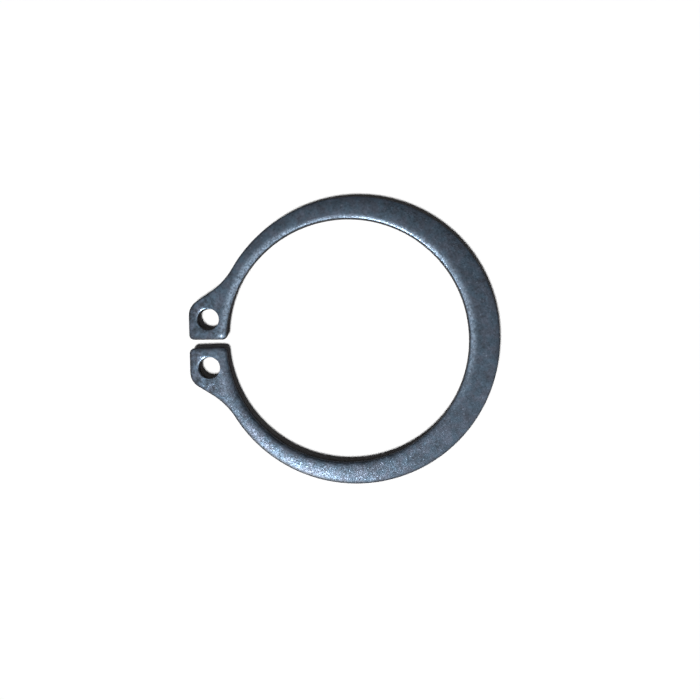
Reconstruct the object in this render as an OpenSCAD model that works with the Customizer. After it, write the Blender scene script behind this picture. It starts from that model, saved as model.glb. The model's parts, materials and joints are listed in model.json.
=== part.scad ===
// External retaining ring for a 32 mm shaft, stamped in one piece from spring steel strip.
// The shaft's axis is Z, the ring lies on its burr side, and its gap opens towards -X.
// Each lug blends into the tapering ring by a rounded shoulder, a sloping back and a hollow.

/* [Ring] */
// Inner diameter of the free ring, before it is spread over its shaft
inner_d = 29.6; // [26:0.1:34]
// Thickness of the strip that the ring is stamped from
thick = 1.5; // [1.2:0.05:2.5]
// Width of the ring at its widest, opposite the gap
wide_b = 3.6; // [3:0.1:4.4]
// Width that the ring tapers down to at the gap, before the lugs are added
narrow_b = 1.6; // [1.2:0.1:2.2]

/* [Lugs] */
// Height of a lug, from the inner edge to its flat end
lug_h = 4.42; // [4:0.02:5.2]
// Length of a lug's flat end, from the gap to where its line meets the line of the back
lug_w = 4.02; // [3.6:0.02:4.6]
// Slope of a lug's back, measured from the line through the gap
back_slope = 32.5; // [26:0.5:38]
// Radius of the shoulder between a lug's flat end and its back
shoulder_r = 2; // [1:0.1:2.4]
// Radius of the hollow between a lug's back and the ring
hollow_r = 9; // [5:0.5:12]

/* [Gap] */
// Gap between the lugs at the inner edge
gap_in = 0.92; // [0.6:0.02:2]
// Gap between the lugs at their flat ends
gap_out = 1.06; // [0.6:0.02:2]
// Radius of a lug's outer corner at the gap
tip_r = 0.6; // [0.55:0.05:1]
// Radius of a lug's inner corner at the gap
toe_r = 0.65; // [0.55:0.05:1]

/* [Plier holes] */
// Diameter of a plier hole
hole_d = 2.6; // [2:0.1:3]
// Distance from the inner edge of the ring to the middle of a plier hole
hole_rise = 2.35; // [2.1:0.05:2.6]
// Distance from the gap to the middle of a plier hole
hole_inset = 2.44; // [2.1:0.02:2.8]

/* [Edges] */
// How far the die draws the punched face down, measured inwards from its edges
roll_w = 0.5; // [0.3:0.05:0.5]
// How far the drawn edges lie under the punched face where they meet the wall
roll_h = 0.2; // [0.1:0.02:0.3]
// Rounding of the edges on the burr side
deburr = 0.12; // [0.05:0.01:0.2]

/* [Hidden] */

// The small steps that keep neighbouring cuts from only touching
hair = 0.002;
deeper = 0.02;
lap = 0.08;
clear = 0.2;
// Angle at which a rounded edge sets out from the face
set_out = 5;

steel = [0.3, 0.34, 0.39];

in_r = inner_d / 2;

// The outer circle is larger and shifted away from the gap, which gives the taper
out_r = in_r + (wide_b + narrow_b) / 2;
out_c = [(wide_b - narrow_b) / 2, 0];

// The gap's upper face runs out from its inner end, in direction gap_run, and faces gap_side
flat_x = -in_r - lug_h;
gap_start = [-in_r, gap_in / 2];
gap_end = [flat_x, gap_out / 2];
gap_lean = atan2(gap_end.y - gap_start.y, lug_h);
gap_run = unit(180 - gap_lean);
gap_side = 270 - gap_lean;

// The lug's outer corner at the gap
tip_c = [flat_x + tip_r, gap_end.y + tip_r * (1 - sin(gap_lean)) / cos(gap_lean)];

// The lug's inner corner at the gap touches the gap's face and the inner circle
toe_from = gap_start - toe_r * unit(gap_side);
toe_c = toe_from + reach(toe_from, gap_run, in_r + toe_r) * gap_run;
toe_turn = heading(toe_c);

// The lug's back slopes up from the end of the flat, and the shoulder rounds that corner
back_side = 90 + back_slope;
back_run = unit(back_slope);
corner = [flat_x, gap_end.y + lug_w];
shoulder_c = [flat_x + shoulder_r, corner.y - shoulder_r * (1 - sin(back_slope)) / cos(back_slope)];

// The hollow touches the back from outside, and the outer circle from outside
hollow_from = corner + hollow_r * unit(back_side);
hollow_c = hollow_from + first_reach(hollow_from - out_c, back_run, out_r + hollow_r) * back_run;
hollow_turn = heading(hollow_c - out_c);
back_start = shoulder_c + shoulder_r * unit(back_side);
back_end = hollow_c - hollow_r * unit(back_side);
ring_start = out_c + out_r * unit(hollow_turn);

hole_y = (gap_in + gap_out) / 4 + hole_inset;
hole_at = [-sqrt(pow(in_r + hole_rise, 2) - pow(hole_y, 2)), hole_y];

function unit(angle) = [cos(angle), sin(angle)];
function heading(v) = atan2(v.y, v.x);

// How far to go from a point along a direction to leave a circle about the origin, or to enter it
function half_chord(from, way, r) = sqrt(pow(from * way, 2) - from * from + r * r);
function reach(from, way, r) = half_chord(from, way, r) - from * way;
function first_reach(from, way, r) = -half_chord(from, way, r) - from * way;

$fn = 96;

// What a corner loses to a rounding about the centre c, between the touching points a and b
module corner_loss(c, r, a, b, sharp) {
    difference() {
        polygon([a, c + (sharp - c) * 1.6, b, c]);
        translate(c) circle(r + hair);
    }
}

// The blank of the upper lug, with sharp corners
module lug_blank() {
    polygon([
        [-in_r, 0], [flat_x, 0], corner, back_end, ring_start,
        (in_r + narrow_b / 2) * unit(heading(ring_start))
    ]);
}

// All that the upper lug loses at its corners and in its hollow
module lug_loss() {
    corner_loss(tip_c, tip_r, tip_c + tip_r * unit(gap_side), [flat_x, tip_c.y], gap_end);
    corner_loss(toe_c, toe_r, in_r * unit(toe_turn), toe_c + toe_r * unit(gap_side), gap_start);
    corner_loss(shoulder_c, shoulder_r, [flat_x, shoulder_c.y], back_start, corner);
    translate(hollow_c) circle(hollow_r + hair);
}

// The gap, from inside the ring to beyond the lugs' flat ends
module gap_shape() {
    upper = [[-in_r + 1, gap_start.y], gap_start, gap_end, gap_end - [1, 0]];
    polygon(concat(upper, [for (i = [3 : -1 : 0]) [upper[i].x, -upper[i].y]]));
}

// Draws the upper lug's shape and the lower lug's, which mirrors it
module both_lugs() {
    for (side = [0, 1]) mirror([0, side]) children();
}

// A cutter of the given outline, right through the strip
module through() {
    translate([0, 0, -1]) linear_extrude(thick + 2) children();
}

// The ring as the punch leaves it, with sharp edges
module stamping() {
    difference() {
        union() {
            translate(out_c) cylinder(h = thick, r = out_r);
            both_lugs() linear_extrude(thick) lug_blank();
        }
        through() circle(in_r);
        through() gap_shape();
        both_lugs() through() lug_loss();
        both_lugs() through() translate(hole_at) circle(d = hole_d);
    }
}

// Section of what an edge loses, with the sharp edge at the origin and x outwards. An arc runs from
// size.x inwards on the face to size.y down the wall, and goes on a little way past both.
module edge_section(size) {
    past = 1.1;
    bend = (size * size) / (2 * (size.y * cos(set_out) - size.x * sin(set_out)));
    difference() {
        translate(-size * past) square(size * past + [clear, clear]);
        translate([-size.x - bend * sin(set_out), -bend * cos(set_out)]) circle(bend);
    }
}

// Rounding along an arc that bulges out of the metal, or along one that is hollow
module arc_edge(c, r, from, to, size, hollow = false) {
    translate(c) rotate(from) rotate_extrude(angle = to - from)
        translate([r, 0]) mirror([hollow ? 1 : 0, 0]) edge_section(size);
}

// Rounding along a straight edge, which faces the angle side and starts at from
module straight_edge(from, side, length, size) {
    translate(from - lap * unit(side - 90)) rotate([90, 0, side])
        linear_extrude(length + 2 * lap) edge_section(size);
}

// Rounding of the upper lug's edges, from the gap's inner corner round to the ring
module lug_edges(size) {
    more = size + [deeper, deeper];
    lap_turn = lap / hollow_r * 180 / PI;
    arc_edge(toe_c, toe_r + hair, gap_side, 180 + toe_turn, more);
    straight_edge(toe_c + toe_r * unit(gap_side), gap_side, (tip_c - toe_c) * gap_run, size);
    arc_edge(tip_c, tip_r + hair, 180, gap_side, more);
    straight_edge([flat_x, tip_c.y], 180, shoulder_c.y - tip_c.y, size);
    arc_edge(shoulder_c, shoulder_r + hair, back_side, 180, more);
    straight_edge(back_start, back_side, (back_end - back_start) * back_run, size);
    arc_edge(hollow_c, hollow_r + hair, 180 + back_side - lap_turn, 180 + hollow_turn + lap_turn, more, true);
    arc_edge(hole_at, hole_d / 2, 0, 360, size, true);
}

// Rounding of every edge on the face at z = 0, with the metal below it
module face_edges(size) {
    ring_lap = lap / out_r * 180 / PI;
    both_lugs() lug_edges(size);
    arc_edge(out_c, out_r, -hollow_turn - ring_lap, hollow_turn + ring_lap, size);
    arc_edge([0, 0], in_r, -toe_turn - ring_lap, toe_turn + ring_lap, size, true);
}

// The ring with the punched face's edges drawn down
module rolled_ring() {
    difference() {
        stamping();
        translate([0, 0, thick]) face_edges([roll_w, roll_h]);
    }
}

module retaining_ring() {
    color(steel) difference() {
        rolled_ring();
        mirror([0, 0, 1]) face_edges([deburr, deburr]);
    }
}

retaining_ring();
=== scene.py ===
import json
import math

import bpy
import numpy as np
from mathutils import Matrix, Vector
from mathutils.geometry import delaunay_2d_cdt


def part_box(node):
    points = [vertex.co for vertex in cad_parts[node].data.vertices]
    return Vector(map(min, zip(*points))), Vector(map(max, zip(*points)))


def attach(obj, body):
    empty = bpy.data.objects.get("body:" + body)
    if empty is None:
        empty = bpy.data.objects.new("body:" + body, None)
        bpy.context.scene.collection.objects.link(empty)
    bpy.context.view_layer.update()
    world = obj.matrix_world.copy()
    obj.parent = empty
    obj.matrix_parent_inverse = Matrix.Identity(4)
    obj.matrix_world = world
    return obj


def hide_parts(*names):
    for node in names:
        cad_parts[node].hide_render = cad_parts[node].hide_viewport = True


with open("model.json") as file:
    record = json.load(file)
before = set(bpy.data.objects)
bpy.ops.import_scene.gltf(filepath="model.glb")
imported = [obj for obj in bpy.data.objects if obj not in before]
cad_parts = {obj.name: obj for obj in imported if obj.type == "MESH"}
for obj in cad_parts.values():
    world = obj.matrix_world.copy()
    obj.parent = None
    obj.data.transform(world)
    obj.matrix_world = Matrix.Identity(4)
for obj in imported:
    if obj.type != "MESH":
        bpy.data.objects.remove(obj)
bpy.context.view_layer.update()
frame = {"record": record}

# An external retaining ring of phosphated spring steel lies on a white table, seen from straight above.
# The ring's lengths are in millimetres, and MM turns them into Blender's metres. A row of four numbers
# has the two ends of a stretch, and the levels that something has at those ends and beyond them.

MM = 0.001

# The ring's own sizes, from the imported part

mounts = {m["name"]: m for m in frame["record"]["mounts"]}
LOW, HIGH = (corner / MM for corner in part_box("retaining_ring"))
IN_R = mounts["shaft_seat"]["dims"]["r_mm"]
OUT_R = HIGH.y
OUT_C = Vector((HIGH.x - OUT_R, 0))
FLAT_X = LOW.x
THICK = HIGH.z
HOLE_R = mounts["plier_hole_a"]["dims"]["r_mm"]
HOLE_AT = Vector(mounts["plier_hole_a"]["pos_m"][:2]) / MM
HOLES = [HOLE_AT, Vector((HOLE_AT.x, -HOLE_AT.y))]

# The lugs' shape, as stamped

LUG_W = 4.02
BACK_SLOPE = math.radians(32.5)
SHOULDER_R = 2.0
HOLLOW_R = 9.0
GAP_IN = 0.92
GAP_OUT = 1.06
TIP_R = 0.6
TOE_R = 0.65

# How the press shapes the edges. Each roll has its drop at the wall, its reach into the face and the
# radius of the edge itself. The plier holes are drawn down most on the side at HOLE_LEAN from their
# middle, and the burr side's edges are only broken.

ROLLS = {"Inner": (0.19, 0.46, 0.05), "Outer": (0.035, 0.4, 0.12), "Hole": (0.08, 0.18, 0.04)}
ROLL_UNEVEN = 0.35
ROLL_DRIFT_SCALE = 420.0
INNER_ROLL_BY_Y = (-13, -4, 0.82, 1.0)
LUG_ENDS = (-16.5, -13.5)
LUG_ROLL = 0.4
HOLE_LEAN = math.radians(154)
HOLE_ROLL_BY_SIDE = (0.45, 0.95, 0.1, 1.0)
BURR_R = 0.1

# The wall is burnished smooth in its upper part, and torn below that

BURNISH = 0.4
TEAR_DEPTH = 0.02
TEAR_SCALE = 2600.0
TEAR_DETAIL = 3.0
TEAR_ONSET = 8.0

# Painted highlights, a pale colour where the lamps' gloss falls: beside the ring's inner edge, across the
# lower lug and at the plier holes. The crest, the end and the level at the edge are shares of the inner
# band's width and strength.

HIGHLIGHT_WIDTH_BY_X = (4, 13, 0.45, 0.85)
HIGHLIGHT_CREST = 0.35
HIGHLIGHT_END = 1.25
HIGHLIGHT_AT_EDGE = 0.3
HIGHLIGHT_START_BY_X = (0, 12, -6, -12.5)
HIGHLIGHT_LENGTH = 12
HIGHLIGHT_LEVEL_BY_X = (-9, -2, 0.65, 0.36)
HOLE_HIGHLIGHT_BY_SIDE = (0.5, 0.95, 0.0, 1.0)
HOLE_HIGHLIGHT = (0, 0.3, 0.55, 0.0)
LUG_HIGHLIGHT_RISE = (0.6, 1.1, 0.0, 1.0)
LUG_HIGHLIGHT_FALL = (1.2, 2.0, 0.14, 0.0)
LOWER_LUG_BY_X = (-15.2, -13.0, 1.0, 0.0)
LOWER_LUG_BY_Y = (-1.4, -0.6, 1.0, 0.0)

# How finely the ring is drawn. A grid's clearance and its rows' spacing are shares of its step.

POINT_STEP = 0.25
ARC_STEP = 0.12
FEWEST_STEPS = 6
INSETS = [0, 0.008, 0.022, 0.042, 0.07, 0.11, 0.17, 0.25, 0.34, 0.44, 0.53]
GRID_STEP = 0.28
GRID_CLEAR = 0.5
HONEYCOMB_ROW = math.sqrt(0.75)
WALL_BANDS = 7

# How near counts as beside a rim, as on the wall, as the same point, and as no length at all

HOLE_MARGIN = 0.1
INNER_MARGIN = 0.5
ON_WALL = 0.002
SAME_POINT = 0.0005
NO_LENGTH = 0.0001
SAME_IN_PLAN = 1e-7


def unit(angle):
    return Vector((math.cos(angle), math.sin(angle)))


def heading(v):
    return math.atan2(v.y, v.x)


def chord_reach(start, way, radius, sign):
    """How far along a direction a line meets a circle about the origin: sign -1 is where it enters."""
    along = start.dot(way)
    return -along + sign * math.sqrt(along * along - start.dot(start) + radius * radius)


def upper_lug_arcs():
    """The upper lug's arcs from the gap's inner corner to the ring: centre, radius, start, end, bulge."""
    lean = math.atan2((GAP_OUT - GAP_IN) / 2, -FLAT_X - IN_R)
    gap_side = math.radians(270) - lean
    gap_run = unit(math.pi - lean)
    tip_c = Vector((FLAT_X + TIP_R, GAP_OUT / 2 + TIP_R * (1 - math.sin(lean)) / math.cos(lean)))
    toe_from = Vector((-IN_R, GAP_IN / 2)) - TOE_R * unit(gap_side)
    toe_c = toe_from + chord_reach(toe_from, gap_run, IN_R + TOE_R, 1) * gap_run
    back_side = math.pi / 2 + BACK_SLOPE
    corner = Vector((FLAT_X, GAP_OUT / 2 + LUG_W))
    fall = SHOULDER_R * (1 - math.sin(BACK_SLOPE)) / math.cos(BACK_SLOPE)
    shoulder_c = corner + Vector((SHOULDER_R, -fall))
    hollow_from = corner + HOLLOW_R * unit(back_side)
    reach = chord_reach(hollow_from - OUT_C, unit(BACK_SLOPE), OUT_R + HOLLOW_R, -1)
    hollow_c = hollow_from + reach * unit(BACK_SLOPE)
    hollow_turn = heading(hollow_c - OUT_C)
    return [
        (toe_c, TOE_R, math.pi + heading(toe_c), gap_side, 1),
        (tip_c, TIP_R, gap_side, math.pi, 1),
        (shoulder_c, SHOULDER_R, math.pi, back_side, 1),
        (hollow_c, HOLLOW_R, math.pi + back_side, math.pi + hollow_turn, -1),
    ]


def mirrored(arc):
    """The same arc on the lower lug, run through the other way."""
    centre, radius, start, end, bulge = arc
    return Vector((centre.x, -centre.y)), radius, -end, -start, bulge


def outline_arcs():
    """All arcs of the ring's outline in order. Straight edges join one arc's end to the next one's start."""
    upper = upper_lug_arcs()
    lower = [mirrored(arc) for arc in reversed(upper)]
    ring_turn = upper[-1][3] - math.pi
    toe_turn = upper[0][2] - math.pi
    around = (OUT_C, OUT_R, ring_turn, -ring_turn, 1)
    inside_edge = (Vector((0, 0)), IN_R, -toe_turn, toe_turn, -1)
    return upper + [around] + lower + [inside_edge]


def outline_points(inset):
    """The outline moved inwards by inset, as points with the same spacing for every inset."""
    arcs = outline_arcs()
    points = []
    for k, (c, r, start, end, bulge) in enumerate(arcs):
        step = min(POINT_STEP, ARC_STEP * r)
        count = max(FEWEST_STEPS, math.ceil(r * abs(end - start) / step))
        radius = r - bulge * inset
        points += [c + radius * unit(start + (end - start) * i / count) for i in range(count + 1)]
        next_c, next_r, next_start, _, next_bulge = arcs[(k + 1) % len(arcs)]
        target = next_c + (next_r - next_bulge * inset) * unit(next_start)
        full = (next_c + next_r * unit(next_start)) - (c + r * unit(end))
        between = math.ceil(full.length / POINT_STEP)
        here = points[-1]
        points += [here.lerp(target, i / between) for i in range(1, between)]
        if full.length < NO_LENGTH:
            points.pop()
    return points


def hole_points(centre, inset):
    count = math.ceil(2 * math.pi / ARC_STEP)
    return [centre + (HOLE_R + inset) * unit(2 * math.pi * i / count) for i in range(count)]


def edge_loops(inset):
    """The outline and both plier holes, moved into the metal by inset."""
    return [outline_points(inset)] + [hole_points(centre, inset) for centre in HOLES]


def as_array(points):
    return np.array([p[:] for p in points])


def inside(points, loop):
    """Which points lie within a closed loop."""
    x, y = points[:, 0], points[:, 1]
    hit = np.zeros(len(points), bool)
    for a, b in zip(loop, np.roll(loop, -1, axis=0)):
        crosses = (a[1] > y) != (b[1] > y)
        if crosses.any():
            edge_x = a[0] + (y - a[1]) / (b[1] - a[1]) * (b[0] - a[0])
            hit ^= crosses & (x < edge_x)
    return hit


def in_metal(points, inset):
    """Which points lie in the ring, at least inset away from its edges."""
    hit = inside(points, as_array(outline_points(inset)))
    for centre in HOLES:
        hit &= np.linalg.norm(points - np.array(centre), axis=1) > HOLE_R + inset
    return hit


def inner_grid():
    """Points in a honeycomb over the flat of the face, clear of the edge loops."""
    rows = np.arange(LOW.y, HIGH.y, GRID_STEP * HONEYCOMB_ROW)
    columns = np.arange(LOW.x, HIGH.x, GRID_STEP)
    grid = np.array([(x + (k % 2) * GRID_STEP / 2, y) for k, y in enumerate(rows) for x in columns])
    deep = INSETS[-1]
    grid = grid[in_metal(grid, deep)]
    edge = np.concatenate([as_array(loop) for loop in edge_loops(deep)])
    clear = np.array([np.linalg.norm(edge - p, axis=1).min() for p in grid])
    return grid[clear > GRID_STEP * GRID_CLEAR]


def flat_blank():
    """The ring's plan as a flat mesh: loops close together along the edges, wide triangles between them."""
    points, edges = [], []
    for inset in INSETS:
        for loop in edge_loops(inset):
            first, count = len(points), len(loop)
            points += loop
            edges += [(first + i, first + (i + 1) % count) for i in range(count)]
    points += [Vector(p) for p in inner_grid()]
    verts, _, faces, *_ = delaunay_2d_cdt(points, edges, [], 0, SAME_IN_PLAN)
    plan = as_array(verts)
    centres = np.array([plan[list(f)].mean(axis=0) for f in faces])
    kept = [f for f, keep in zip(faces, in_metal(centres, 0)) if keep]
    mesh = bpy.data.meshes.new("ring_blank")
    mesh.from_pydata([(v.x * MM, v.y * MM, 0) for v in verts], [], kept)
    mesh.update()
    blank = bpy.data.objects.new("ring_blank", mesh)
    bpy.context.scene.collection.objects.link(blank)
    return blank


# How the nodes are set out in their editor

NODE_WIDTH = 220
NODE_HEIGHT = 260
COLUMN_NODES = 6


class Tree:
    """A node tree under construction, with short calls for its nodes, sums and links."""

    def __init__(self, tree):
        self.tree = tree

    def node(self, kind, inputs=None, **settings):
        made = self.tree.nodes.new(kind)
        for key, value in settings.items():
            setattr(made, key, value)
        for key, value in (inputs or {}).items():
            self.feed(made.inputs[key], value)
        return made

    def feed(self, socket, value):
        if isinstance(value, bpy.types.NodeSocket):
            self.tree.links.new(value, socket)
        else:
            socket.default_value = value

    def math(self, operation, a, b=0.0, clamp=False):
        made = self.node("ShaderNodeMath", {0: a, 1: b}, operation=operation, use_clamp=clamp)
        return made.outputs[0]

    def plus(self, a, b, clamp=False):
        return self.math("ADD", a, b, clamp)

    def minus(self, a, b):
        return self.math("SUBTRACT", a, b)

    def times(self, a, b, clamp=False):
        return self.math("MULTIPLY", a, b, clamp)

    def most(self, a, b):
        return self.math("MAXIMUM", a, b)

    def least(self, a, b):
        return self.math("MINIMUM", a, b)

    def arrange(self):
        """Sets the nodes out in columns, in the order in which they were made."""
        for k, made in enumerate(self.tree.nodes):
            column, row = divmod(k, COLUMN_NODES)
            made.location = (column * NODE_WIDTH, -row * NODE_HEIGHT)


def places(row):
    """A row whose stretch is in millimetres, with the stretch in metres."""
    start, end, *levels = row
    return [start * MM, end * MM, *levels]


def lengths(row):
    """Millimetres in metres, for a whole row."""
    return [length * MM for length in row]


def ramp(t, value, start, end, at_start, at_end, **settings):
    """Goes from one level to another as a value passes over a stretch, and holds the levels beyond it."""
    inputs = {"Value": value, "From Min": start, "From Max": end, "To Min": at_start, "To Max": at_end}
    return t.node("ShaderNodeMapRange", inputs, **settings).outputs[0]


def smooth_step(t, value, start, end, at_start, at_end):
    return ramp(t, value, start, end, at_start, at_end, interpolation_type="SMOOTHSTEP")


def noise(t, place, scale, detail=2.0, roughness=0.5, distortion=0.0):
    inputs = {"Vector": place, "Scale": scale, "Detail": detail}
    made = t.node("ShaderNodeTexNoise", {**inputs, "Roughness": roughness, "Distortion": distortion})
    return made.outputs[0]


def scaled(t, vector, share):
    """A vector or a colour made larger or smaller by a share."""
    return t.node("ShaderNodeVectorMath", {0: vector, "Scale": share}, operation="SCALE").outputs[0]


def stamping_inputs():
    """The stamping tree's named inputs, with lengths in metres."""
    inputs = {
        "Thickness": THICK * MM,
        "Inner Radius": IN_R * MM,
        "Hole Radius": HOLE_R * MM,
        "Hole X": HOLE_AT.x * MM,
        "Hole Y": HOLE_AT.y * MM,
        "Hole Lean": HOLE_LEAN,
        "Lug Share": LUG_ROLL,
        "Unevenness": ROLL_UNEVEN,
        "Burr Radius": BURR_R * MM,
        "Tear Depth": TEAR_DEPTH * MM,
        "Burnished Share": BURNISH,
    }
    for which, roll in ROLLS.items():
        for size, length in zip(("Drop", "Reach", "Edge Radius"), roll):
            inputs[f"{which} {size}"] = length * MM
    return inputs


def quarter_round(t, distance, radius):
    """How far an edge of that radius lies under the face, at a distance from the wall."""
    left = t.most(t.minus(radius, distance), 0.0)
    rise = t.math("SQRT", t.minus(t.times(radius, radius), t.times(left, left)))
    return t.minus(radius, rise)


def drawn_edge(t, distance, given, which, share):
    """How far the press leaves the face down near an edge: a roll that fades out, and a rounded corner."""
    reach = t.times(given[which + " Reach"], share)
    fade = t.math("EXPONENT", t.times(-1.0, t.math("DIVIDE", distance, reach)))
    roll = t.times(t.times(given[which + " Drop"], share), fade)
    return t.plus(roll, quarter_round(t, distance, given[which + " Edge Radius"]))


def rim_distances(t, blank, given, position, hole_x, hole_y, on_rim):
    """How far each point is from the rim of the ring's inside, of the plier holes and of all the rest."""
    hole_gap = t.math("SQRT", t.plus(t.times(hole_x, hole_x), t.times(hole_y, hole_y)))
    by_hole = t.math("LESS_THAN", hole_gap, t.plus(given["Hole Radius"], HOLE_MARGIN * MM))
    radius = t.node("ShaderNodeVectorMath", {0: position}, operation="LENGTH").outputs["Value"]
    inward = t.math("LESS_THAN", radius, t.plus(given["Inner Radius"], INNER_MARGIN * MM))
    outward = t.minus(t.minus(1.0, inward), by_hole)
    distances = {}
    for which, chosen in (("Inner", inward), ("Outer", outward), ("Hole", by_hole)):
        picked = {"Geometry": blank, "Selection": t.times(on_rim, chosen)}
        edge = t.node("GeometryNodeSeparateGeometry", picked, domain="EDGE").outputs["Selection"]
        near = t.node("GeometryNodeProximity", {0: edge}, target_element="EDGES")
        distances[which] = near.outputs["Distance"]
    return distances


def face_drop(t, given, position, at, distances, hole_side):
    """How far the press draws the face down, all rolls together."""
    drift = t.minus(noise(t, position, ROLL_DRIFT_SCALE), 0.5)
    give = t.plus(1.0, t.times(drift, given["Unevenness"]))
    by_y = smooth_step(t, at["Y"], *places(INNER_ROLL_BY_Y))
    on_lug = smooth_step(t, at["X"], *lengths(LUG_ENDS), given["Lug Share"], 1.0)
    shares = {
        "Inner": t.times(give, by_y),
        "Outer": t.times(give, on_lug),
        "Hole": smooth_step(t, hole_side, *HOLE_ROLL_BY_SIDE),
    }
    drop = 0.0
    for which, share in shares.items():
        drop = t.plus(drop, drawn_edge(t, distances[which], given, which, share))
    return drop


def inner_painted_highlight(t, at, distance):
    """A painted highlight beside the ring's inner edge, wider at the ring's sides and gone on its near side.
    """
    width = smooth_step(t, t.math("ABSOLUTE", at["X"]), *lengths(HIGHLIGHT_WIDTH_BY_X))
    crest = t.times(width, HIGHLIGHT_CREST)
    rise = smooth_step(t, distance, 0.0, crest, HIGHLIGHT_AT_EDGE, 1.0)
    fall = smooth_step(t, distance, crest, t.times(width, HIGHLIGHT_END), 1.0, 0.0)
    start = smooth_step(t, at["X"], *lengths(HIGHLIGHT_START_BY_X))
    along = smooth_step(t, at["Y"], start, t.plus(start, HIGHLIGHT_LENGTH * MM), 0.0, 1.0)
    level = smooth_step(t, at["X"], *places(HIGHLIGHT_LEVEL_BY_X))
    return t.times(t.times(rise, fall), t.times(along, level))


def hole_painted_highlight(t, distance, hole_side):
    """A painted highlight: a pale crescent at one side of each plier hole."""
    beside = smooth_step(t, hole_side, *HOLE_HIGHLIGHT_BY_SIDE)
    return t.times(smooth_step(t, distance, *places(HOLE_HIGHLIGHT)), beside)


def lug_painted_highlight(t, at, distance):
    """A faint painted highlight across the lower lug, some way in from the ring's inner edge."""
    rise = smooth_step(t, distance, *places(LUG_HIGHLIGHT_RISE))
    fall = smooth_step(t, distance, *places(LUG_HIGHLIGHT_FALL))
    on_x = smooth_step(t, at["X"], *places(LOWER_LUG_BY_X))
    on_y = smooth_step(t, at["Y"], *places(LOWER_LUG_BY_Y))
    return t.times(t.times(rise, fall), t.times(on_x, on_y))


def stored(t, geometry, name, value):
    """The geometry with a number kept on its points."""
    inputs = {"Geometry": geometry, "Name": name, "Value": value}
    made = t.node("GeometryNodeStoreNamedAttribute", inputs, data_type="FLOAT", domain="POINT")
    return made.outputs["Geometry"]


def read_back(t, name):
    return t.node("GeometryNodeInputNamedAttribute", {"Name": name}, data_type="FLOAT").outputs[0]


def set_position(t, geometry, **inputs):
    return t.node("GeometryNodeSetPosition", {"Geometry": geometry, **inputs}).outputs[0]


def raised(t, geometry, height):
    offset = t.node("ShaderNodeCombineXYZ", {"Z": height}).outputs[0]
    return set_position(t, geometry, Offset=offset)


def draw_wall(t, shell, rim, at, top_z, foot_z):
    """Brings the wall down from the rim in bands, which all end at the broken lower edge."""
    for band in range(1, WALL_BANDS + 1):
        inputs = {"Mesh": shell, "Selection": rim, "Offset Scale": 0.0}
        drawn = t.node("GeometryNodeExtrudeMesh", inputs, mode="EDGES").outputs
        share = band / WALL_BANDS
        level = t.plus(t.times(top_z, 1.0 - share), t.times(foot_z, share))
        place = t.node("ShaderNodeCombineXYZ", {"X": at["X"], "Y": at["Y"], "Z": level}).outputs[0]
        rim = drawn["Top"]
        shell = set_position(t, drawn["Mesh"], Selection=rim, Position=place)
    return shell


def tear_wall(t, shell, given, position, at, top_z, distance):
    """Below its burnished part the wall is torn, and pits a little way into the metal."""
    wall_height = t.minus(top_z, given["Burr Radius"])
    depth = t.math("DIVIDE", t.minus(top_z, at["Z"]), wall_height)
    past_burnish = t.times(t.minus(depth, given["Burnished Share"]), TEAR_ONSET, clamp=True)
    before_end = t.times(t.minus(1.0, depth), TEAR_ONSET, clamp=True)
    on_wall = t.math("LESS_THAN", distance, ON_WALL * MM)
    torn = t.times(t.times(past_burnish, before_end), on_wall)
    grain = noise(t, position, TEAR_SCALE, TEAR_DETAIL)
    pits = t.times(t.times(grain, given["Tear Depth"]), torn)
    normal = t.node("GeometryNodeInputNormal").outputs[0]
    return set_position(t, shell, Offset=scaled(t, normal, t.times(pits, -1.0)))


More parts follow.
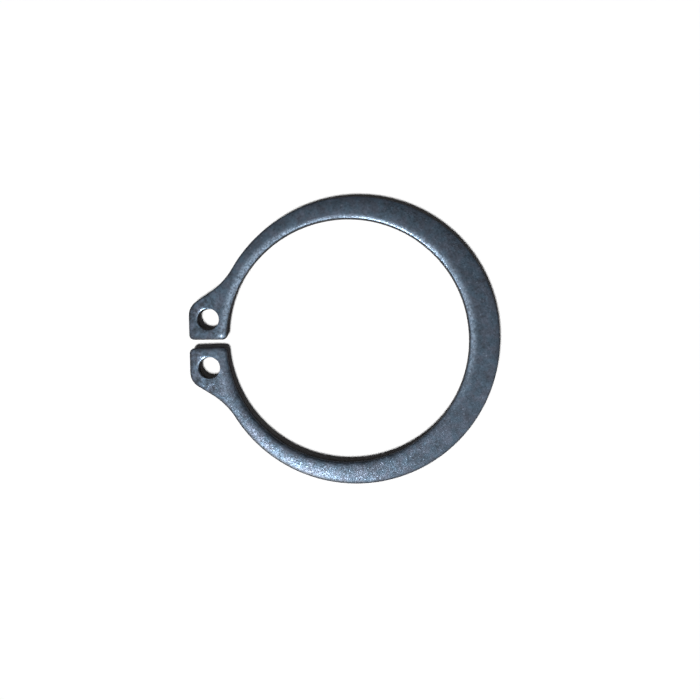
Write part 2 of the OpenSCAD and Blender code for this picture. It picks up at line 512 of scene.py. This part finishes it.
def stamping_tree(steel):
    """Presses a flat blank into the ring: drawn upper edges, a sheared and torn wall, broken lower edges."""
    tree = bpy.data.node_groups.new("stamping", "GeometryNodeTree")
    tree.is_modifier = True
    tree.interface.new_socket("Geometry", in_out="INPUT", socket_type="NodeSocketGeometry")
    for name, value in stamping_inputs().items():
        socket = tree.interface.new_socket(name, in_out="INPUT", socket_type="NodeSocketFloat")
        socket.default_value = value
    tree.interface.new_socket("Geometry", in_out="OUTPUT", socket_type="NodeSocketGeometry")
    t = Tree(tree)
    given = t.node("NodeGroupInput").outputs
    blank = given["Geometry"]
    position = t.node("GeometryNodeInputPosition").outputs[0]
    at = t.node("ShaderNodeSeparateXYZ", {0: position}).outputs
    face_count = t.node("GeometryNodeInputMeshEdgeNeighbors").outputs["Face Count"]
    one_face = t.node("FunctionNodeCompare", {2: face_count, 3: 1}, data_type="INT", operation="EQUAL")
    on_rim = one_face.outputs[0]

    # The nearer plier hole, and 1 on the side of it where it is drawn down most and its painted highlight
    # lies
    hole_x = t.minus(at["X"], given["Hole X"])
    hole_y = t.minus(at["Y"], t.times(t.math("SIGN", at["Y"]), given["Hole Y"]))
    bearing = t.minus(t.math("ARCTAN2", hole_y, hole_x), given["Hole Lean"])
    hole_side = t.math("COSINE", bearing)

    distances = rim_distances(t, blank, given, position, hole_x, hole_y, on_rim)
    nearest = t.least(t.least(distances["Inner"], distances["Outer"]), distances["Hole"])
    drop = face_drop(t, given, position, at, distances, hole_side)
    # Painted highlights: where the colour is made pale beside the inner edge, across the lower lug and at the
    # holes
    painted_highlight = t.most(inner_painted_highlight(t, at, distances["Inner"]), hole_painted_highlight(t, distances["Hole"], hole_side))
    painted_highlight = t.most(painted_highlight, lug_painted_highlight(t, at, distances["Inner"]))
    face = stored(t, blank, "edge_distance", nearest)
    face = stored(t, face, "outer_distance", distances["Outer"])
    face = stored(t, face, "painted_highlight", painted_highlight)
    face = stored(t, face, "top_height", t.minus(given["Thickness"], drop))
    distance = read_back(t, "edge_distance")
    top_z = read_back(t, "top_height")

    shell = draw_wall(t, raised(t, face, top_z), on_rim, at, top_z, given["Burr Radius"])
    bottom = raised(t, face, quarter_round(t, distance, given["Burr Radius"]))
    bottom = t.node("GeometryNodeFlipFaces", {"Mesh": bottom}).outputs[0]
    both = t.node("GeometryNodeJoinGeometry")
    for part in (shell, bottom):
        tree.links.new(part, both.inputs[0])
    joined = {"Geometry": both.outputs[0], "Distance": SAME_POINT * MM}
    whole = t.node("GeometryNodeMergeByDistance", joined).outputs[0]
    whole = tear_wall(t, whole, given, position, at, top_z, distance)
    whole = t.node("GeometryNodeSetShadeSmooth", {"Geometry": whole}).outputs[0]
    whole = t.node("GeometryNodeRealizeInstances", {"Geometry": whole}).outputs[0]
    whole = t.node("GeometryNodeSetMaterial", {"Geometry": whole, "Material": steel}).outputs[0]
    t.node("NodeGroupOutput", {0: whole})
    t.arrange()
    return tree


def press_ring(steel):
    """Runs the stamping tree on the blank and keeps the plain mesh that comes out."""
    blank = flat_blank()
    tree = stamping_tree(steel)
    modifier = blank.modifiers.new("stamping", "NODES")
    modifier.node_group = tree
    values = stamping_inputs()
    for item in tree.interface.items_tree:
        if item.in_out == "INPUT" and item.name in values:
            modifier[item.identifier] = values[item.name]
    graph = bpy.context.evaluated_depsgraph_get()
    mesh = bpy.data.meshes.new_from_object(blank.evaluated_get(graph), depsgraph=graph)
    blank.modifiers.remove(modifier)
    bpy.data.objects.remove(blank)
    ring = bpy.data.objects.new("pressed_ring", mesh)
    bpy.context.scene.collection.objects.link(ring)
    return ring


# The steel's colours

PHOSPHATE = (0.044, 0.071, 0.103, 1)
GREYER_PHOSPHATE = (0.054, 0.070, 0.099, 1)
# The pale colour of the painted highlights
PAINTED_HIGHLIGHT_COLOUR = (0.27, 0.36, 0.47, 1)
# The colour of the painted shade along the outer rim
PAINTED_RIM_SHADE = (0.012, 0.011, 0.012, 1)
SHEARED_WALL = (0.034, 0.041, 0.052)
TORN_WALL = (0.021, 0.022, 0.026)

# The surfaces' patterns. Each has its noise (scale per metre, detail, roughness, distortion), and then
# the stretch that is taken from that noise, with the levels at its ends.

PATTERNS = {
    "tint": ((1100,), (0.4, 0.62, 0.0, 1.0)),
    "clouds": ((800, 3, 0.6, 0.3), (0.3, 0.7, 0.68, 1.32)),
    "flecks": ((2600, 2, 0.6), (0.33, 0.43, 0.7, 1.0)),
    "grain": ((3400, 1), (0.3, 0.7, 0.84, 1.16)),
    "lug patches": ((1500, 3, 0.7, 0.4), (0.36, 0.64, -0.6, 0.6)),
    "painted highlight grain": ((3800, 3, 0.7), (0.38, 0.62, 0.1, 1.5)),
    "specks": ((2200, 1), (0.68, 0.78, 0.0, 0.25)),
    "streaks": ((5200, 3, 0.7), (0.35, 0.65, 0.45, 1.6)),
    "torn grain": ((6000, 2, 0.7), (0.35, 0.65, 0.45, 1.7)),
    "crystal clusters": ((1300,), (0.38, 0.62, 0.65, 1.1)),
    "weave": ((900,), (0.3, 0.7, 0.012, 0.022)),
}

# What counts as wall, by how much of the surface's normal points straight up or down

STEEP = (0.8, 0.91, 1.0, 0.0)
LUG_PATCHES_BY_X = (-16.5, -14.5, 1.0, 0.0)

# The painted shade along the rim reaches further in along the lower lug's side of the gap

RIM_REACH = (0.7, 1.3)
RIM_FADE = 2.5
RIM_SHARE = 0.9
GAP_SIDE_BY_Y = (-2.6, -1.0, 0.0, 1.0)

# The line on the wall between its sheared and its torn part

TEAR_TOP = 0.82
TEAR_BLEND = 0.06
TEAR_WANDER = 0.5
STREAK_STRETCH = (1.0, 1.0, 0.05)

# The crystals: their size per metre, how deep they lie, and how far they tilt. They get coarser towards
# the ring's near side, at a slope per metre of Y, and only a share of them is left on the wall.

CRYSTAL_SCALE = 8000.0
CRYSTAL_GRAIN = (4800, 2, 0.6)
CRYSTAL_DEPTH = 0.014
CRYSTAL_TILT = 0.105
COARSE_SLOPE = -60.0
COARSE_BY_SIDE = (-0.3, 0.6, 0.75, 1.0)
WALL_CRYSTALS = 0.15

# The shader: how gloss and metal give way to dull phosphate, and the film of oil

METAL_LOST = 0.9
ROUGHNESS = (0.3, 0.8)
SPECULAR = 0.1
SHEARED_GLOSS = 0.15
OIL_WEIGHT = 0.5
OIL_ROUGHNESS = 0.3


def new_material(name):
    material = bpy.data.materials.new(name)
    material.use_nodes = True
    material.node_tree.nodes.clear()
    return material, Tree(material.node_tree)


def close_material(t, shader):
    t.node("ShaderNodeOutputMaterial", {"Surface": shader.outputs[0]})
    t.arrange()


def blend(t, share, a, b):
    """Colour a turning into b, on the mix node's two colour sockets."""
    made = t.node("ShaderNodeMix", data_type="RGBA", blend_type="MIX")
    t.feed(made.inputs["Factor"], share)
    t.feed(made.inputs[6], a)
    t.feed(made.inputs[7], b)
    return made.outputs[2]


def grey(level):
    return (level, level, level, 1)


def pattern_noise(t, place, name):
    return noise(t, place, *PATTERNS[name][0])


def pattern(t, place, name):
    """One of the surfaces' patterns, at its own levels."""
    return ramp(t, pattern_noise(t, place, name), *PATTERNS[name][1])


def point_number(t, name):
    """A number that the stamping tree has kept on the ring's points."""
    return t.node("ShaderNodeAttribute", attribute_name=name).outputs["Fac"]


def painted_rim_shade(t, at, on_lug):
    """How much painted shade darkens the ring beside its outer edge, from 0 to nearly 1."""
    gap_side = t.times(ramp(t, at["Y"], *places(GAP_SIDE_BY_Y)), t.math("LESS_THAN", at["Y"], 0.0))
    reach = ramp(t, t.times(gap_side, on_lug), 0.0, 1.0, *lengths(RIM_REACH))
    fade = ramp(t, point_number(t, "outer_distance"), 0.0, reach, 1.0, 0.0)
    return t.times(t.math("POWER", fade, RIM_FADE), RIM_SHARE)


def face_colour(t, place, on_lug, rim):
    """Cloudy blue-black phosphate, dark flecks, patchy lugs, pale specks, painted highlights, painted rim
    shade.
    """
    colour = blend(t, pattern(t, place, "tint"), PHOSPHATE, GREYER_PHOSPHATE)
    for layer in ("clouds", "flecks", "grain"):
        colour = scaled(t, colour, pattern(t, place, layer))
    patches = t.times(on_lug, pattern(t, place, "lug patches"))
    colour = scaled(t, colour, t.plus(1.0, patches))
    # Painted highlights in a pale phosphate colour, together with random pale specks
    painted_highlight_and_specks = t.times(point_number(t, "painted_highlight"), pattern(t, place, "painted highlight grain"))
    painted_highlight_and_specks = t.most(painted_highlight_and_specks, pattern(t, place, "specks"))
    colour = blend(t, painted_highlight_and_specks, colour, PAINTED_HIGHLIGHT_COLOUR)
    # Painted shade along the outer rim
    return blend(t, rim, colour, PAINTED_RIM_SHADE)


def wall_colour(t, place, torn):
    """Sheared smooth with streaks down it in its upper part, and torn and grainy below that."""
    drawn_out = t.node("ShaderNodeMapping", {"Vector": place, "Scale": STREAK_STRETCH}).outputs[0]
    sheared = scaled(t, SHEARED_WALL, pattern(t, drawn_out, "streaks"))
    return blend(t, torn, sheared, scaled(t, TORN_WALL, pattern(t, place, "torn grain")))


def vector_math(t, operation, a, b):
    return t.node("ShaderNodeVectorMath", {0: a, 1: b}, operation=operation).outputs[0]


def crystal_normal(t, place, at, steep, drift):
    """The normals of small tilted crystals in clusters: coarser on the near side, and calm on the wall."""
    coarse = ramp(t, t.plus(t.times(at["Y"], COARSE_SLOPE), drift), *COARSE_BY_SIDE)
    coarse = t.times(coarse, ramp(t, steep, 0.0, 1.0, 1.0, WALL_CRYSTALS))
    coarse = t.times(coarse, pattern(t, place, "crystal clusters"))
    cells = t.node("ShaderNodeTexVoronoi", {"Vector": place, "Scale": CRYSTAL_SCALE}, feature="F1")
    tilt = vector_math(t, "SUBTRACT", cells.outputs["Color"], (0.5, 0.5, 0.5))
    tilt = scaled(t, tilt, t.times(coarse, CRYSTAL_TILT))
    depth = t.times(coarse, CRYSTAL_DEPTH * MM)
    height = noise(t, place, *CRYSTAL_GRAIN)
    bump = t.node("ShaderNodeBump", {"Strength": 1.0, "Distance": depth, "Height": height})
    leaned = vector_math(t, "ADD", bump.outputs[0], tilt)
    return t.node("ShaderNodeVectorMath", {0: leaned}, operation="NORMALIZE").outputs[0]


def phosphated_steel():
    """Blue-black phosphate over steel: crystals that glint on the face, matt and nearly black on the wall."""
    material, t = new_material("phosphated_steel")
    coordinates = t.node("ShaderNodeTexCoord").outputs
    place = coordinates["Object"]
    at = t.node("ShaderNodeSeparateXYZ", {0: place}).outputs
    facing = t.node("ShaderNodeSeparateXYZ", {0: coordinates["Normal"]}).outputs["Z"]
    steep = ramp(t, t.math("ABSOLUTE", facing), *STEEP)
    drift = t.minus(pattern_noise(t, place, "clouds"), 0.5)
    on_lug = ramp(t, at["X"], *places(LUG_PATCHES_BY_X))
    # Painted shade along the outer rim, which also makes the metal there dull
    rim = painted_rim_shade(t, at, on_lug)

    tear_line = lengths((TEAR_TOP - TEAR_BLEND, TEAR_TOP + TEAR_BLEND))
    torn = ramp(t, t.plus(at["Z"], t.times(drift, TEAR_WANDER * MM)), *tear_line, 1.0, 0.0)
    colour = blend(t, steep, face_colour(t, place, on_lug, rim), wall_colour(t, place, torn))
    dry = t.most(steep, rim)
    sheared = t.times(steep, t.minus(1.0, torn))
    dull = t.minus(dry, t.times(sheared, SHEARED_GLOSS))
    normal = crystal_normal(t, place, at, steep, drift)
    shader = t.node(
        "ShaderNodeBsdfPrincipled",
        {
            "Base Color": colour,
            "Metallic": t.minus(1.0, t.times(dull, METAL_LOST)),
            "Roughness": ramp(t, dull, 0.0, 1.0, *ROUGHNESS),
            "Specular IOR Level": SPECULAR,
            "Normal": normal,
            "Coat Weight": t.times(t.minus(1.0, dry), OIL_WEIGHT),
            "Coat Roughness": OIL_ROUGHNESS,
            "Coat Normal": normal,
        },
    )
    close_material(t, shader)
    return material


# The stage is in metres. The table is white where it is seen and a little greyer in the light that it
# scatters, and it glows faintly, so that the ring's shadow on it has a warm tone.

TABLE_HALF = 2.0
PAPER_SEEN = 1.0
PAPER_SCATTERED = 0.8
PAPER_ROUGHNESS = 0.9
TABLE_GLOW = 0.004
GLOW_COLOUR = (1.0, 0.85, 0.75, 1)


def seen_directly(t):
    """1 for what the camera sees, also in a mirror or through glass, and 0 for light that only scatters."""
    path = t.node("ShaderNodeLightPath").outputs
    seen = t.plus(path["Is Camera Ray"], path["Is Glossy Ray"])
    return t.plus(seen, path["Is Transmission Ray"], clamp=True)


def table_paper():
    """Matt white table top."""
    material, t = new_material("table_paper")
    seen = seen_directly(t)
    shader = t.node(
        "ShaderNodeBsdfPrincipled",
        {
            "Base Color": blend(t, seen, grey(PAPER_SCATTERED), grey(PAPER_SEEN)),
            "Roughness": PAPER_ROUGHNESS,
            "Specular IOR Level": 0.0,
            "Emission Color": GLOW_COLOUR,
            "Emission Strength": t.times(seen, TABLE_GLOW),
        },
    )
    close_material(t, shader)
    return material


def flat_sheet(name, half_width, half_height, material):
    """A flat sheet about its own middle."""
    corners = [(x * half_width, y * half_height, 0) for x, y in ((-1, -1), (1, -1), (1, 1), (-1, 1))]
    mesh = bpy.data.meshes.new(name)
    mesh.from_pydata(corners, [], [(0, 1, 2, 3)])
    mesh.materials.append(material)
    sheet = bpy.data.objects.new(name, mesh)
    bpy.context.scene.collection.objects.link(sheet)
    return sheet


def lay_table():
    table = flat_sheet("table", TABLE_HALF, TABLE_HALF, table_paper())


# The photograph's camera looks straight down from above the ring, which appears turned a little

PHOTO_WIDTH = 700
RING_AT_PIXEL = Vector((348.23, 340.1))
PIXELS_PER_MM = 8.27
CAMERA_HEIGHT = 0.1
CAMERA_CLIP = (0.005, 20)
TURN = math.radians(1.45)
SENSOR = 36.0


def place_camera():
    """The lens shows the ring at the photograph's scale, and the camera stands so that it lies off centre."""
    camera = bpy.data.cameras.new("camera")
    camera.sensor_width = SENSOR
    width = PHOTO_WIDTH / PIXELS_PER_MM * MM
    camera.lens = SENSOR * CAMERA_HEIGHT / width
    camera.clip_start = CAMERA_CLIP[0]
    camera.clip_end = CAMERA_CLIP[1]
    aim = (Vector((PHOTO_WIDTH / 2, PHOTO_WIDTH / 2)) - RING_AT_PIXEL) / PIXELS_PER_MM * MM
    across, up = unit(-TURN), unit(math.pi / 2 - TURN)
    spot = across * aim.x - up * aim.y
    seat = bpy.data.objects.new("camera", camera)
    seat.location = (spot.x, spot.y, THICK * MM + CAMERA_HEIGHT)
    seat.rotation_euler = (0, 0, -TURN)
    bpy.context.scene.collection.objects.link(seat)
    bpy.context.scene.camera = seat


# Each lamp and the cloth hang at an azimuth and an elevation, seen from the ring

KEY_SIDE = (math.radians(-122), math.radians(64))
KEY_DISTANCE = 1.0
KEY_STRENGTH = 3.45
KEY_ANGLE = math.radians(9)
NEAR_SIDE = (math.radians(-116), math.radians(62))
NEAR_POWER = 0.107
RIGHT_SIDE = (math.radians(-35), math.radians(40))
RIGHT_POWER = 0.07
GLINT_DISTANCE = 0.115
GLINT_SIZE = 0.02
FLAG_SIDE = (math.radians(62), math.radians(48))
FLAG_DISTANCE = 0.6
FLAG_SIZE = (2.6, 0.66)

# The room's strength where it only lights matt surfaces. It is 1 where it is seen.

ROOM_LIGHT = 0.025


def hang(thing, side, distance):
    """Puts a lamp or a cloth on a side of the ring, turned towards it."""
    azimuth, elevation = side
    flat = unit(azimuth) * math.cos(elevation)
    way = Vector((flat.x, flat.y, math.sin(elevation)))
    thing.location = way * distance
    thing.rotation_euler = way.to_track_quat("Z", "Y").to_euler()


def hang_lamp(name, kind, side, distance):
    lamp = bpy.data.lights.new(name, kind)
    hung = bpy.data.objects.new(name, lamp)
    hang(hung, side, distance)
    bpy.context.scene.collection.objects.link(hung)
    return hung


def hang_glint_lamp(name, side, power):
    """A small lamp close by that only shows in the metal's gloss."""
    hung = hang_lamp(name, "AREA", side, GLINT_DISTANCE)
    hung.data.shape = "DISK"
    hung.data.size = GLINT_SIZE
    hung.data.energy = power
    hung.visible_diffuse = False
    hung.visible_camera = False


def flag_cloth():
    """Black cloth."""
    material, t = new_material("flag_cloth")
    weave = pattern(t, t.node("ShaderNodeTexCoord").outputs["Object"], "weave")
    colour = scaled(t, (1.0, 1.0, 1.0), weave)
    inputs = {"Base Color": colour, "Roughness": 1.0, "Specular IOR Level": 0.0}
    close_material(t, t.node("ShaderNodeBsdfPrincipled", inputs))
    return material


def hang_flag():
    """A dark cloth hangs over the far side and shows only in the metal, where it darkens the edges there."""
    flag = flat_sheet("flag", FLAG_SIZE[0] / 2, FLAG_SIZE[1] / 2, flag_cloth())
    hang(flag, FLAG_SIDE, FLAG_DISTANCE)
    flag.visible_camera = False
    flag.visible_diffuse = False
    flag.visible_shadow = False


def light_scene():
    """A key lamp from the near left, two glint lamps, and a white room with a dark cloth on the far side."""
    key = hang_lamp("key", "SUN", KEY_SIDE, KEY_DISTANCE)
    key.data.energy = KEY_STRENGTH
    key.data.angle = KEY_ANGLE
    key.visible_glossy = False
    hang_glint_lamp("near_lamp", NEAR_SIDE, NEAR_POWER)
    hang_glint_lamp("side_lamp", RIGHT_SIDE, RIGHT_POWER)
    hang_flag()

    world = bpy.data.worlds.new("room")
    bpy.context.scene.world = world
    world.use_nodes = True
    world.node_tree.nodes.clear()
    t = Tree(world.node_tree)
    strength = ramp(t, seen_directly(t), 0.0, 1.0, ROOM_LIGHT, 1.0)
    room = t.node("ShaderNodeBackground", {"Color": grey(1.0), "Strength": strength})
    t.node("ShaderNodeOutputWorld", {"Surface": room.outputs[0]})
    t.arrange()


def dress_ring():
    steel = phosphated_steel()
    ring = press_ring(steel)
    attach(ring, "root")
    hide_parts("retaining_ring")


bpy.context.scene.view_settings.view_transform = "Standard"
place_camera()
light_scene()
lay_table()
dress_ring()
